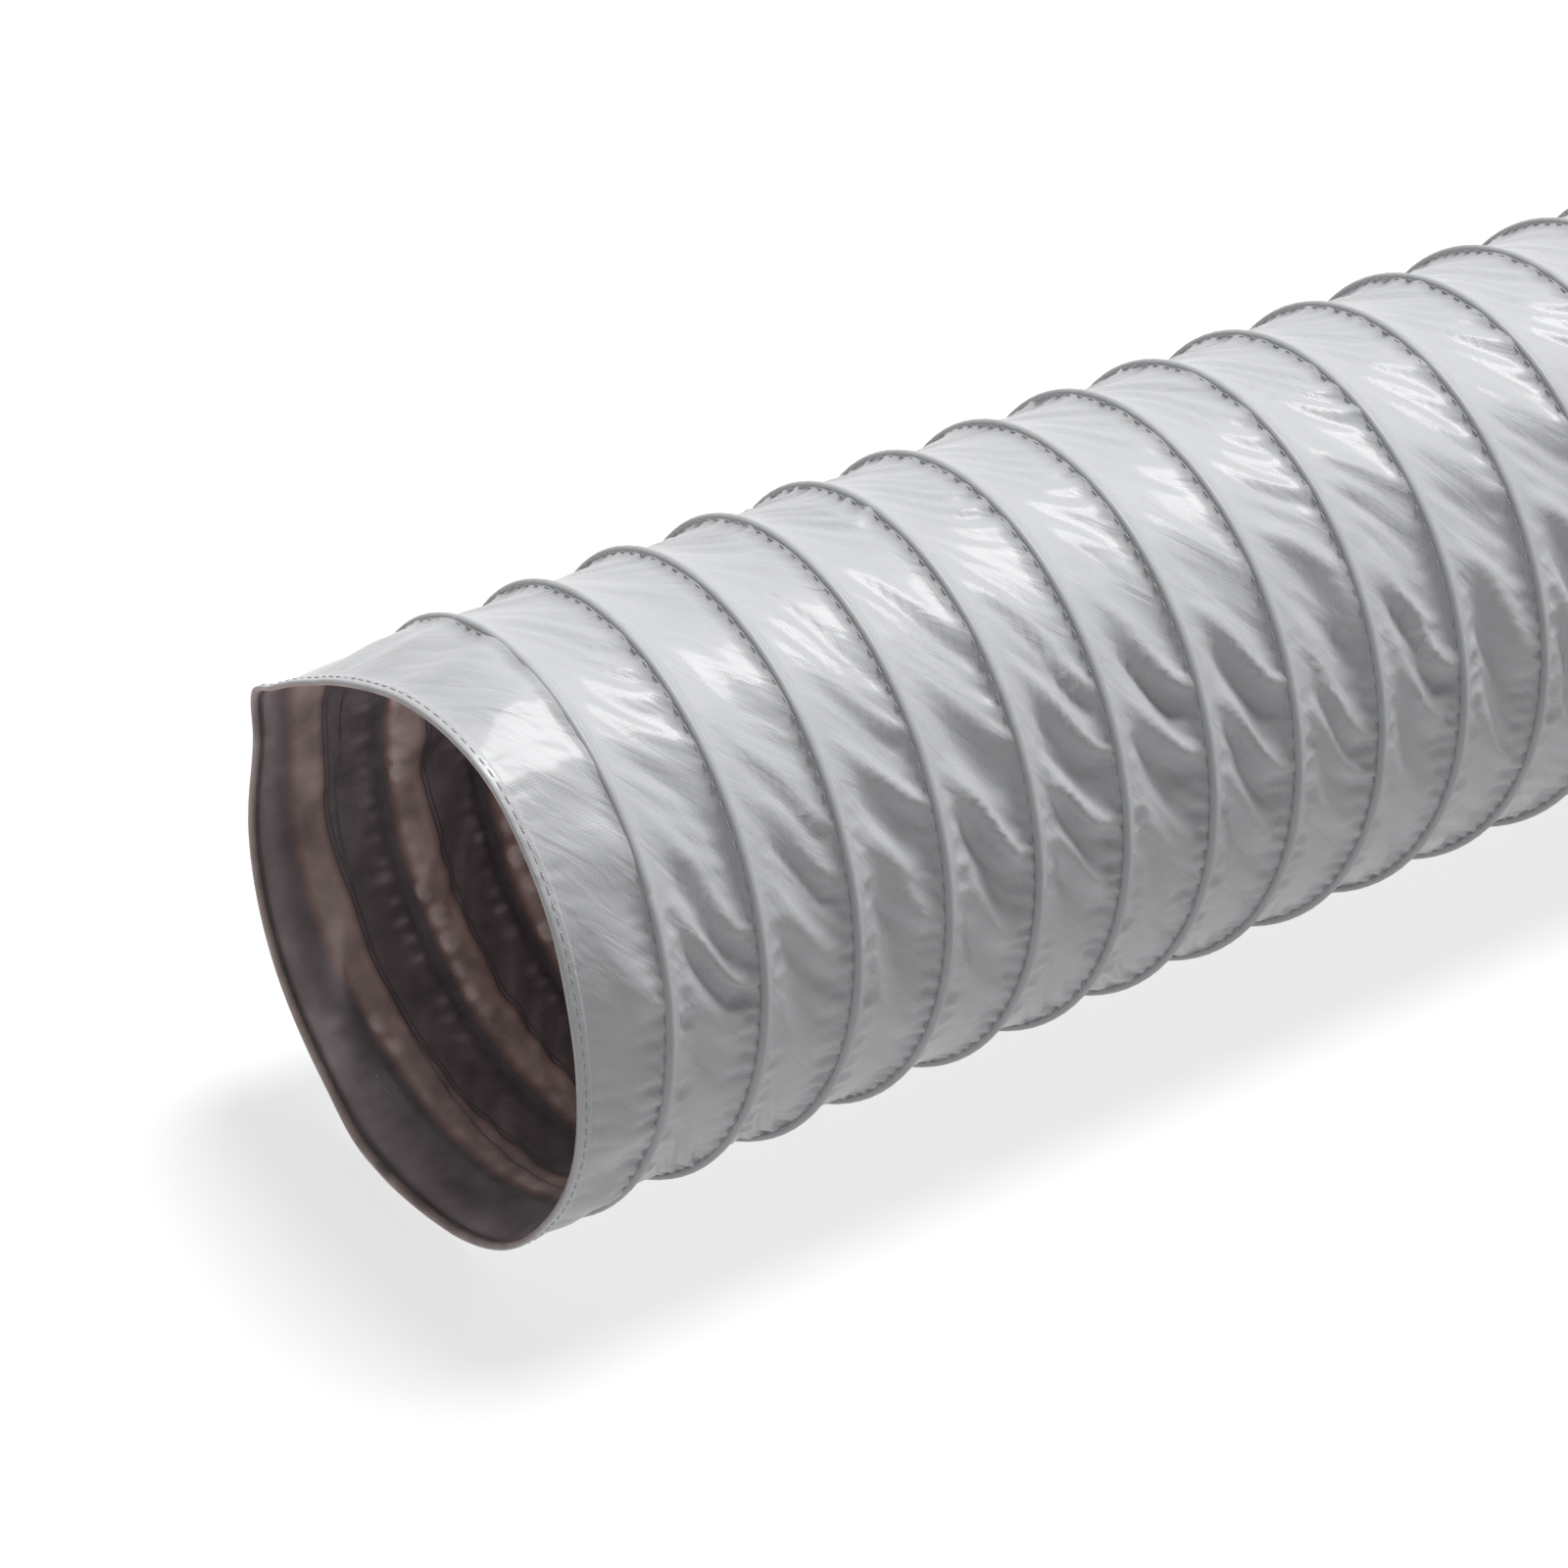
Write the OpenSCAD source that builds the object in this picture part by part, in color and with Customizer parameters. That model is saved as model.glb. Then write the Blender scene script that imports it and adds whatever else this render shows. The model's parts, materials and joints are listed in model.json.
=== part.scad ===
// Flexible air duct: a coated fabric sleeve on one left-hand helix of coated spring wire.
// The duct lies along X on the floor. The angle a is measured from the top towards -Y.

/* [Duct] */
// Inside diameter of the cuffs, which is the spigot size they fit
bore_d = 150; // [100:1:250]
// Thickness of one layer of the coated fabric: a cuff has one, the wound wall two
fabric_t = 0.6; // [0.6:0.1:1.5]
// Distance along the duct from one turn of the wire to the next
pitch = 28.3; // [18:0.1:45]
// Turns of the wire
turns = 21; // [4:1:24]

/* [Wire] */
// Diameter of the wire with its plastic coat
wire_d = 2.5; // [1.5:0.1:5]
// Clearance between the wall and the flats of the wire
wire_gap = 0.15; // [0.05:0.05:0.5]
// Plain fabric between an open end and the wire's cut end
wire_inset = 12.2; // [6:0.1:40]
// Where the wire's cut ends lie round the duct, from the top towards -Y
wire_end_a = 217.5; // [187.5:15:232.5]
// Depth of the flat that the wire lies on
floor_flat = 0.5; // [0.3:0.1:0.8]

/* [Seam] */
// Diameter of the sewing thread
thread_d = 0.7; // [0.4:0.1:1.2]
// Distance along the duct from the wire's middle forward to the sewn seam
seam_offset = 2.4; // [2:0.1:6]
// Clearance between the wall and the thread
thread_gap = 0.1; // [0.05:0.05:0.5]

/* [Ends] */
// Length of the plain cuff at each end
cuff_len = 25; // [15:1:60]
// Width of the hem sewn round each open end
hem_w = 3; // [2:0.5:10]
// Thickness of the hem, two folded layers
hem_t = 1.1; // [0.6:0.1:2]
// Clearance between the cuff and the hem on it
hem_gap = 0.05; // [0.02:0.01:0.2]

/* [Hidden] */
$fn = 180;

// The cuffs and the wall share their outer face, on which the wire lies. The wound strip
// laps over itself, so its second layer stands inwards of the cuffs
cuff_ri = bore_d / 2;
wall_r = cuff_ri + fabric_t;
wall_ri = wall_r - 2 * fabric_t;
hem_ri = wall_r + hem_gap;
hem_ro = hem_ri + hem_t;

// The duct ends where the plain fabric past the wire ends does
duct_len = turns * pitch + 2 * wire_inset;
x_front = -duct_len / 2;
x_wire = x_front + wire_inset;

// Rings per turn and sides of the two wound tubes
wire_rings = 24;
wire_sides = 6;
thread_rings = 22;
thread_sides = 3;

// A tube's chords stay clear of the wall, so its rings stand out by the chord's rise
wire_r = wire_d / 2;
wire_path_r = (wall_r + wire_gap) / cos(180 / wire_rings) + wire_r * cos(180 / wire_sides);
thread_r = thread_d / 2;
thread_path_r = (wall_r + thread_gap) / cos(180 / thread_rings)
    + thread_r * cos(180 / thread_sides);

// Lowest flat of the wire, and the duct's axis above the floor once that is cut level
wire_low = (wire_path_r + wire_r * cos(180 / wire_sides)) * cos(180 / wire_rings);
axis_z = wire_low - floor_flat;

// Point of the duct at station x, angle a and radius r, never below the floor
function duct_point(x, a, r) = [x, -r * sin(a), max(0, axis_z + r * cos(a))];

// One ring of a wound tube, after s turns, with a flat side towards the duct's axis
function ring(s, path_r, tube_r, sides, shift) = [
    for (k = [0 : sides - 1])
        let (b = -90 + 180 / sides + 360 * k / sides)
            duct_point(x_wire + shift + s * pitch + tube_r * cos(b),
                       wire_end_a - 360 * s,
                       path_r + tube_r * sin(b))];

// Mean of a ring's points
function middle(points) = [for (p = points) 1 / len(points)] * points;

// A cut end runs on straight for one tube diameter, from ring a past ring b
function run_on(a, b, d) =
    let (step = middle(b) - middle(a), way = step / norm(step))
        [for (p = b) p + way * d];

function wound_rings(path_r, tube_r, sides, rings, shift) =
    let (turning = [for (i = [0 : turns * rings])
                        ring(i / rings, path_r, tube_r, sides, shift)],
         last = len(turning) - 1)
        concat([run_on(turning[1], turning[0], 2 * tube_r)],
               turning,
               [run_on(turning[last - 1], turning[last], 2 * tube_r)]);

// Least distance between the tube's skin and the skin of a neighbouring turn
function least_gap(rings_all, per_turn, tube_d) =
    let (mid = [for (r = rings_all) middle(r)], n = len(mid))
        min([for (i = [0 : n - 1])
                for (j = [i + ceil(per_turn / 2) : min(n - 1, i + ceil(per_turn * 1.5))])
                    norm(mid[j] - mid[i])]) - tube_d;

// Skin of triangles over the rings, with a fan at each cut end
module skin(rings_all) {
    sides = len(rings_all[0]);
    count = len(rings_all);
    walls = [for (i = [0 : count - 2]) for (k = [0 : sides - 1])
        let (m = (k + 1) % sides, a = i * sides, b = a + sides)
            each [[a + k, a + m, b + k], [a + m, b + m, b + k]]];
    first = [for (k = [1 : sides - 2]) [0, k + 1, k]];
    base = (count - 1) * sides;
    last = [for (k = [1 : sides - 2]) [base, base + k, base + k + 1]];
    polyhedron(points = [for (r = rings_all) each r],
               faces = concat(walls, first, last));
}

// Round sleeve along X, between two stations and two radii
module sleeve(x0, x1, ri, ro) {
    translate([x0, 0, axis_z]) rotate([0, 90, 0])
        difference() {
            cylinder(r = ro, h = x1 - x0);
            translate([0, 0, -1]) cylinder(r = ri, h = x1 - x0 + 2);
        }
}

// Ring of thread round the duct at station x
module thread_ring(x) {
    translate([x, 0, axis_z]) rotate([0, 90, 0])
        rotate_extrude()
            translate([hem_ro + hem_gap + thread_r, 0]) circle(r = thread_r);
}

// Everything at one end is the mirror image of the other end
module at_end(rear) {
    mirror([rear ? 1 : 0, 0, 0]) children();
}

module duct_wall() {
    color("#cfd0d2") sleeve(x_front + cuff_len, -x_front - cuff_len, wall_ri, wall_r);
}

module wire_helix() {
    rings_all = wound_rings(wire_path_r, wire_r, wire_sides, wire_rings, 0);
    echo(wire_least_gap_to_itself = least_gap(rings_all, wire_rings, wire_d));
    color("#8d8f93") skin(rings_all);
}

module seam_thread() {
    rings_all = wound_rings(thread_path_r, thread_r, thread_sides, thread_rings, -seam_offset);
    echo(thread_least_gap_to_itself = least_gap(rings_all, thread_rings, thread_d));
    echo(thread_gap_to_wire = seam_offset - wire_r - thread_r);
    color("#6f7176") skin(rings_all);
}

module cuff(rear) {
    color("#cfd0d2") at_end(rear) sleeve(x_front, x_front + cuff_len, cuff_ri, wall_r);
}

module hem(rear) {
    color("#dcdddf") at_end(rear) sleeve(x_front, x_front + hem_w, hem_ri, hem_ro);
}

module hem_thread(rear) {
    color("#6f7176") at_end(rear) thread_ring(x_front + hem_w / 2);
}

duct_wall();
wire_helix();
seam_thread();
cuff(false);  // front_cuff
hem(false);  // front_hem
hem_thread(false);  // front_hem_thread
cuff(true);  // rear_cuff
hem(true);  // rear_hem
hem_thread(true);  // rear_hem_thread
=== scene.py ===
"""Flexible air duct: coated fabric wound on one left-hand helix of coated spring wire.

Lengths are in metres. The duct lies along X, and its open mouth is at the low end of X.
An angle round the duct is measured from its top towards -Y.
"""
import json
import math

import bmesh
import bpy
import numpy as np
from mathutils import Matrix, Vector

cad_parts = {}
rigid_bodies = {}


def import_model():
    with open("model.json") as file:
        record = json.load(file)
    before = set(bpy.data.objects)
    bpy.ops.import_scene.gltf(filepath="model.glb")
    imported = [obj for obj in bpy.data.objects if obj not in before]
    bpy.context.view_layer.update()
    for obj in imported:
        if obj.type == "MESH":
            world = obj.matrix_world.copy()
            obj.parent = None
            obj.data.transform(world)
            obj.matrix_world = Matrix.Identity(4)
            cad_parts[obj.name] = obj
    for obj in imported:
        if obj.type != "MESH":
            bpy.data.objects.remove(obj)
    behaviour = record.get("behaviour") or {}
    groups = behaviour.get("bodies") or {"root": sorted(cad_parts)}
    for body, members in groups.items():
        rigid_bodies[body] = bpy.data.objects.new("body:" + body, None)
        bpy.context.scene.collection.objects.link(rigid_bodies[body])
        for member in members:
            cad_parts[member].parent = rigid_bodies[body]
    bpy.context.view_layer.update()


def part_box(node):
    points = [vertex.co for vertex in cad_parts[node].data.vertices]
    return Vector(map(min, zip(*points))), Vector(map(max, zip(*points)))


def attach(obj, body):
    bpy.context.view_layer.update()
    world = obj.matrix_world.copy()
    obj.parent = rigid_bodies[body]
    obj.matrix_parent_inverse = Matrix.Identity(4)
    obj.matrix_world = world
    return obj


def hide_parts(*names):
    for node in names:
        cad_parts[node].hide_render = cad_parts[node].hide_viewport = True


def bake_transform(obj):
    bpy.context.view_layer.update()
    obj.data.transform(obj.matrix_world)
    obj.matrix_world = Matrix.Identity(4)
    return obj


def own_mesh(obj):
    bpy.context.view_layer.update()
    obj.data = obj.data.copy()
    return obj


bl_info = {
    "name": "Flexible air duct",
    "version": (1, 0, 0),
    "blender": (4, 5, 0),
    "location": "3D View > Sidebar > Duct",
    "description": "Fabric air duct on a spring wire, with sewn seam and hemmed ends",
    "category": "Object",
}

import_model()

MM = .001
CUFF_LO, CUFF_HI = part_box("front_cuff")
WALL_LO, WALL_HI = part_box("duct_wall")
FRONT = CUFF_LO.x
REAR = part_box("rear_cuff")[1].x
AXIS_Z = (CUFF_LO.z + CUFF_HI.z) / 2
SKIN_R = (CUFF_HI.y - CUFF_LO.y) / 2
# The front part of the duct, the part that squeezes, ends at this station and rides on the
# sleeve; the rest stays where it is
BORDER = -44.35 * MM
# Wall pieces end at these stations, so that none of them holds too many faces
CUTS = (WALL_LO.x, -164.35 * MM, BORDER, 65 * MM, 175 * MM, WALL_HI.x)

# Wire's first turn, and the number of its turns
WIRE_X = FRONT + 12.2 * MM
WIRE_TURN = 217.5 / 360
TURNS = 21

# Rows of the wall between two ribs. The close ones are at the strip's outer edge
ROWS = (0, .035, .07, .108, .122, .137, .175, .22, .275, .335, .4, .47, .54, .61, .68, .75,
        .815, .875, .925, .965)
COLUMNS = 520
# Where between two ribs the strip's outer edge lies, and how much of the way is two layers
LAP_EDGE = .117
STRIP_SHARE = .65

# Threads of the weave to a pitch and once round the duct. They are 0.9 mm apart, twice the
# real spacing, which is too fine to show
THREADS = (31, 528, 1)
# A wave texture of this scale has one wave to a unit
ONE_WAVE = .31416
# The creases wind round the duct with the folds, in radians for each metre along it
CREASE_WIND = -15.5
FOLD_SEED, PUCKER_SEED, DENT_SEED = 23, 5, 3

# Least heights over the floor of the lining and of the stitches
LINING_LIFT = .4 * MM
STITCH_LIFT = .1 * MM
# Corners of the hem's section from this one on show the strip's uncoated back
HEM_BACK = 8

LAMP_AT = (2, .7, 5.6)
CAMERA_AT = (-.98678, -1.02177, .97603)
# Which way the camera looks, in degrees: round from the front, from above, and its roll
CAMERA_WAY = (-37.7121, 34.6192, 2.4969)


def prop(kind, label, tip, value, **more):
    """A property of a size or a colour, with its name, tip and default."""
    return kind(name=label, description=tip, default=value, **more)


def length(label, tip, value):
    return prop(bpy.props.FloatProperty, label, tip, value, unit="LENGTH", precision=5)


def linear(hex_colour):
    """sRGB hex to the linear colour that Blender's sockets hold."""
    parts = [int(hex_colour[i:i + 2], 16) / 255 for i in (1, 3, 5)]
    return tuple(c / 12.92 if c <= .04045 else ((c + .055) / 1.055) ** 2.4 for c in parts)


def tint(label, tip, hex_colour):
    return prop(bpy.props.FloatVectorProperty, label, tip, linear(hex_colour),
                subtype="COLOR", min=0, max=1)


class DuctSizes(bpy.types.PropertyGroup):
    pitch: length("Pitch", "Distance along the duct between two ribs", 28.3 * MM)
    wire_d: length("Wire diameter", "Spring wire with its coat", 2.5 * MM)
    wire_r: length("Wire radius", "From the duct's axis to the wire's middle", 76.45 * MM)
    fabric_t: length("Fabric thickness", "Coated fabric at a mouth, in one layer", .6 * MM)
    lap_step: length("Lap step", "Height of the strip's outer edge", .45 * MM)
    stitch: length("Stitch", "Length of one stitch of the helical seam", 5.2 * MM)
    hem_width: length("Hem width", "Width of the hem round a mouth", 3 * MM)
    fold: length("Fold spacing", "From one slanting fold to the next", 29 * MM)
    fold_depth: length("Fold depth", "From a deep fold's ridge to its hollow", 6.6 * MM)
    slack: prop(bpy.props.FloatProperty, "Slack",
                "Spare length of fabric between two ribs, as a share", .07)


class DuctColours(bpy.types.PropertyGroup):
    fabric: tint("Fabric", "Outer coat of the fabric", "#cdced0")
    lining_lap: tint("Lining lap", "Inside, where two layers lie", "#91888c")
    # Painted light: lighter than the lap for the light that comes through one layer
    lining_single: tint("Lining single", "Inside, where one layer lies", "#c0b3af")
    wire: tint("Wire", "Plastic coat of the wire", "#bfc1c3")
    thread: tint("Thread", "Sewing thread", "#c6c8ca")
    hem: tint("Hem", "Folded hem", "#cdced0")


def sizes():
    return bpy.context.scene.duct_sizes


def colours():
    return bpy.context.scene.duct_colours


# ---------------------------------------------------------------- materials

def node(tree, kind, settings=None, **inputs):
    """Adds a node. An input is a value, or a pair of a node and its output's name."""
    made = tree.nodes.new(kind)
    for name, value in (settings or {}).items():
        setattr(made, name, value)
    for name, value in inputs.items():
        socket = made.inputs[int(name[1:]) if name[1:].isdigit() else name.replace("_", " ")]
        if isinstance(value, tuple) and isinstance(value[0], bpy.types.Node):
            tree.links.new(value[0].outputs[value[1]], socket)
        else:
            socket.default_value = value
    return made


def material(name):
    """A new material, its node tree and its surface node."""
    made = bpy.data.materials.new(name)
    made.use_nodes = True
    return made, made.node_tree, made.node_tree.nodes["Principled BSDF"]


def seen_directly(tree):
    """1 for what the camera sees, also mirrored or through glass, and 0 for light."""
    path = node(tree, "ShaderNodeLightPath")
    some = node(tree, "ShaderNodeMath", {"operation": "MAXIMUM"},
                _0=(path, "Is Camera Ray"), _1=(path, "Is Glossy Ray"))
    return node(tree, "ShaderNodeMath", {"operation": "MAXIMUM"},
                _0=(some, "Value"), _1=(path, "Is Transmission Ray"))


def put(tree, surface, **links):
    """Links outputs of nodes to the surface's inputs."""
    for name, (source, output) in links.items():
        tree.links.new(source.outputs[output], surface.inputs[name.replace("_", " ")])


def shade(colour, factor):
    return (*[c * factor for c in colour], 1)


def woven(tree, place, operation):
    """The height of the weave: a wave across the strip and one along it, put together."""
    warp = node(tree, "ShaderNodeMapping", Vector=(place, "UV"), Scale=THREADS)
    across, along = (node(tree, "ShaderNodeTexWave", {"bands_direction": way},
                          Vector=(warp, "Vector"), Scale=ONE_WAVE) for way in "XY")
    return node(tree, "ShaderNodeMath", {"operation": operation},
                _0=(across, "Fac"), _1=(along, "Fac"))


def coated_fabric(name, colour, roughness):
    """Woven polyester with a soft plastic coat: satin gloss, with the weave just showing."""
    made, tree, surface = material(name)
    place = node(tree, "ShaderNodeTexCoord")
    weave = woven(tree, place, "MULTIPLY")
    # Soft unevenness of the coat, 12 mm across
    uneven = node(tree, "ShaderNodeTexNoise", Vector=(place, "Object"), Scale=80.0, Detail=2.0)
    # Soft creases, 8 mm apart and longer than that, that wind round with the folds
    split = node(tree, "ShaderNodeSeparateXYZ", Vector=(place, "Object"))
    wound = node(tree, "ShaderNodeMath", {"operation": "MULTIPLY"}, _0=(split, "X"),
                 _1=CREASE_WIND)
    unwound = node(tree, "ShaderNodeVectorRotate", {"rotation_type": "X_AXIS"},
                   Vector=(place, "Object"), Center=(0, 0, AXIS_Z), Angle=(wound, "Value"))
    drawn = node(tree, "ShaderNodeMapping", Vector=(unwound, "Vector"), Scale=(80, 125, 125))
    crinkle = node(tree, "ShaderNodeTexNoise", Vector=(drawn, "Vector"), Scale=1.0, Detail=2.0,
                   Distortion=.6)
    tone = node(tree, "ShaderNodeMix", {"data_type": "RGBA"}, Factor=(uneven, "Fac"),
                _6=shade(colour, .955), _7=shade(colour, 1.0))
    worn = node(tree, "ShaderNodeMix", {"data_type": "RGBA", "blend_type": "MULTIPLY"},
                Factor=(weave, "Value"), _6=(tone, 2), _7=(.94, .94, .945, 1))
    rough = node(tree, "ShaderNodeMapRange", Value=(crinkle, "Fac"),
                 To_Min=roughness - .06, To_Max=roughness + .08)
    thread_bump = node(tree, "ShaderNodeBump", Height=(weave, "Value"), Strength=.3,
                       Distance=.07 * MM)
    bump = node(tree, "ShaderNodeBump", Height=(crinkle, "Fac"), Strength=.45,
                Distance=1.4 * MM, Normal=(thread_bump, "Normal"))
    put(tree, surface, Base_Color=(worn, 2), Roughness=(rough, "Result"),
        Normal=(bump, "Normal"))
    surface.inputs["Specular IOR Level"].default_value = .35
    surface.inputs["Coat Weight"].default_value = .18
    surface.inputs["Coat Roughness"].default_value = .14
    return made


def lining(name, lap, single):
    """Uncoated back of the fabric, dull and dark, with lighter bands of painted light where
    light comes through one layer only."""
    made, tree, surface = material(name)
    place = node(tree, "ShaderNodeTexCoord")
    split = node(tree, "ShaderNodeSeparateXYZ", Vector=(place, "UV"))
    # The edges of the bands wander by a millimetre or two
    wander = node(tree, "ShaderNodeTexNoise", Vector=(place, "Object"), Scale=45.0, Detail=1.0)
    astray = node(tree, "ShaderNodeMapRange", Value=(wander, "Fac"), To_Min=-.06, To_Max=.06)
    moved = node(tree, "ShaderNodeMath", _0=(split, "X"), _1=(astray, "Result"))
    turn = node(tree, "ShaderNodeMath", {"operation": "FRACT"}, _0=(moved, "Value"))
    band = node(tree, "ShaderNodeValToRGB", Fac=(turn, "Value"))
    ramp = band.color_ramp
    between = tuple((a + b) / 2 * c for a, b, c in zip(lap, single, (1.07, .94, .9)))
    inner = LAP_EDGE + 1 - STRIP_SHARE
    # The one-layer bands are painted lighter: painted light that comes through the cloth
    stops = ((LAP_EDGE - .05, lap), (LAP_EDGE + .01, between), (LAP_EDGE + .07, single),
             (inner - .07, single), (inner - .025, between), (inner, lap))
    ramp.elements[0].position, ramp.elements[1].position = stops[0][0], stops[-1][0]
    for at, colour in stops[1:-1]:
        ramp.elements.new(at)
    for element, (at, colour) in zip(ramp.elements, stops):
        element.color = (*colour, 1)
    # Two rows of thread, 1.2 mm apart, hold down the strip's inner edge
    past = node(tree, "ShaderNodeMath", {"operation": "SUBTRACT"}, _0=(turn, "Value"),
                _1=inner + .02)
    beside = node(tree, "ShaderNodeMath", {"operation": "ABSOLUTE"}, _0=(past, "Value"))
    edge = node(tree, "ShaderNodeMath", {"operation": "COMPARE"}, _0=(beside, "Value"),
                _1=.021, _2=.008)
    weave = woven(tree, place, "ADD")
    uneven = node(tree, "ShaderNodeTexNoise", Vector=(place, "Object"), Scale=110.0, Detail=4.0)
    blotch = node(tree, "ShaderNodeMapRange", Value=(uneven, "Fac"), From_Min=.25, From_Max=.75,
                  To_Min=.72, To_Max=1.22)
    toned = node(tree, "ShaderNodeMix", {"data_type": "RGBA", "blend_type": "MULTIPLY"},
                 Factor=1.0, _6=(band, "Color"), _7=(blotch, "Result"))
    grain = node(tree, "ShaderNodeMapRange", Value=(weave, "Value"), From_Max=2.0,
                 To_Min=.96, To_Max=1.03)
    cloth = node(tree, "ShaderNodeMix", {"data_type": "RGBA", "blend_type": "MULTIPLY"},
                 Factor=1.0, _6=(toned, 2), _7=(grain, "Result"))
    sewn = node(tree, "ShaderNodeMix", {"data_type": "RGBA"}, Factor=(edge, "Value"),
                _6=(cloth, 2), _7=shade(lap, .62))
    bump = node(tree, "ShaderNodeBump", Height=(weave, "Value"), Strength=.35,
                Distance=.08 * MM)
    put(tree, surface, Base_Color=(sewn, 2), Normal=(bump, "Normal"))
    surface.inputs["Roughness"].default_value = .72
    # Daylight shines through the thin cloth
    surface.inputs["Subsurface Weight"].default_value = 1
    surface.inputs["Subsurface Radius"].default_value = (1, .92, .92)
    surface.inputs["Subsurface Scale"].default_value = 3.6 * MM
    return made


def plastic_coat(name, colour):
    """Extruded vinyl coat of the spring wire: plain, a little shiny, rubbed in places."""
    made, tree, surface = material(name)
    place = node(tree, "ShaderNodeTexCoord")
    rubbed = node(tree, "ShaderNodeTexNoise", Vector=(place, "Object"), Scale=150.0, Detail=3.0)
    tone = node(tree, "ShaderNodeMix", {"data_type": "RGBA"}, Factor=(rubbed, "Fac"),
                _6=shade(colour, .86), _7=shade(colour, 1.1))
    rough = node(tree, "ShaderNodeMapRange", Value=(rubbed, "Fac"), To_Min=.38, To_Max=.6)
    bump = node(tree, "ShaderNodeBump", Height=(rubbed, "Fac"), Strength=.4, Distance=.1 * MM)
    put(tree, surface, Base_Color=(tone, 2), Roughness=(rough, "Result"),
        Normal=(bump, "Normal"))
    return made


def sewing_thread(name, colour):
    """Twisted polyester thread: dull, with plies 0.7 mm apart."""
    made, tree, surface = material(name)
    place = node(tree, "ShaderNodeTexCoord")
    plies = node(tree, "ShaderNodeTexWave", {"bands_direction": "DIAGONAL"},
                 Vector=(place, "Object"), Scale=500.0)
    # The grooves between the plies are painted darker: painted shade, which the bump also sinks
    tone = node(tree, "ShaderNodeMix", {"data_type": "RGBA"}, Factor=(plies, "Fac"),
                _6=shade(colour, .75), _7=shade(colour, 1.05))
    bump = node(tree, "ShaderNodeBump", Height=(plies, "Fac"), Strength=.5, Distance=.1 * MM)
    put(tree, surface, Base_Color=(tone, 2), Normal=(bump, "Normal"))
    surface.inputs["Roughness"].default_value = .8
    return made


# ---------------------------------------------------------------- shapes

def round_duct(x, a, r):
    """Points at station x, a radians round from the top and r from the axis."""
    return np.stack([x, -r * np.sin(a), AXIS_Z + r * np.cos(a)], -1)


def raised(points, lift=0.0):
    """The same points, none of them lower than lift over the floor."""
    points[..., 2] = np.maximum(points[..., 2], lift)
    return points


def outward(a):
    """Ways out of the duct at a radians round from the top."""
    return np.stack([0 * a, -np.sin(a), np.cos(a)], -1)


def unit(ways):
    return ways / np.linalg.norm(ways, axis=1, keepdims=True)


def eased(t):
    """0 up to t = 0 and 1 from t = 1, with a smooth step between."""
    t = np.clip(t, 0, 1)
    return t * t * (3 - 2 * t)


# Clock positions round the mouth, in degrees: the fabric's radius there, and how far
# it stands out past the end, in millimetres. Its upper far corner is creased
MOUTH = ((0, 71.8, 0), (12, 73.6, 0), (25, 74.9, 0), (40, 73.4, 0), (55, 71.8, 0),
         (70, 70, 0), (88, 70.6, 0), (108, 73.2, 0), (130, 75.6, 0), (150, 79.2, .2),
         (165, 79.4, 1.2), (180, 77.2, 3.2), (198, 80.6, 1.8), (212, 81.4, 0), (237, 80.6, 0),
         (262, 78.6, 0), (278, 76.8, 0), (286, 78, 0), (295, 82.8, 0), (301, 78.6, 0),
         (309, 74.7, 0), (320, 71, 0), (338, 69.3, 0))
FAR_MOUTH = ((0, 74.6, 0), (60, 75.2, 0), (110, 76.2, 0), (180, 76.4, .6), (240, 76.3, 0),
             (300, 75.3, 0))
RADIUS, STAND_OUT = 1, 2
# The front and the rear end: its station, which way the duct goes on, and its mouth
ENDS = ((FRONT, 1, MOUTH), (REAR, -1, FAR_MOUTH))


def round_the_mouth(a, rear, part):
    """A smooth closed curve through one part of a mouth's list."""
    stations = ENDS[rear][2]
    at = np.array([s[0] for s in stations], float)
    value = np.array([s[part] for s in stations], float) * MM
    at = np.concatenate([at[-2:] - 360, at, at[:3] + 360])
    value = np.concatenate([value[-2:], value, value[:3]])
    deg = np.degrees(a) % 360
    k = np.searchsorted(at, deg, side="right") - 1
    span = at[k + 1] - at[k]
    t = (deg - at[k]) / span
    before = (value[k + 1] - value[k - 1]) / (at[k + 1] - at[k - 1]) * span
    after = (value[k + 2] - value[k]) / (at[k + 2] - at[k]) * span
    return ((2 * t**3 - 3 * t**2 + 1) * value[k] + (t**3 - 2 * t**2 + t) * before
            + (3 * t**2 - 2 * t**3) * value[k + 1] + (t**3 - t**2) * after)


def near_mouth(x, a, rear=False):
    """1 at a mouth's edge, down to 0 where the nearest rib holds the fabric round."""
    z = sizes()
    edge, sense, _ = ENDS[rear]
    turn = (a / (2 * math.pi)) % 1
    rib = (sense * WIRE_X + z.pitch * (WIRE_TURN - turn)
           + sense * z.pitch * eased(sense * (turn - WIRE_TURN) / .16))
    return 1 - np.minimum((x - edge) / (rib - edge), 1)


def clock_bump(a, at, width):
    """1 at a clock position in degrees, fading to 0 within about two widths of it."""
    off = (np.degrees(a) - at + 180) % 360 - 180
    return np.exp(-(off / width) ** 2)


def side_weight(a):
    """How deep the folds are round the duct: deepest at its sides, least above and below."""
    return np.clip(.1 + 1.05 * clock_bump(a, 67, 27) + .6 * clock_bump(a, 285, 30), 0, 1.1)


def soft_noise(run, spacing, random):
    """A smooth random wave along the strip, about 1 high, its swells about spacing apart."""
    return .7 * sum(np.sin(2 * math.pi * run / (spacing * random.uniform(.75, 1.6))
                           + random.uniform(0, 6.3)) for _ in range(4))


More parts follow.
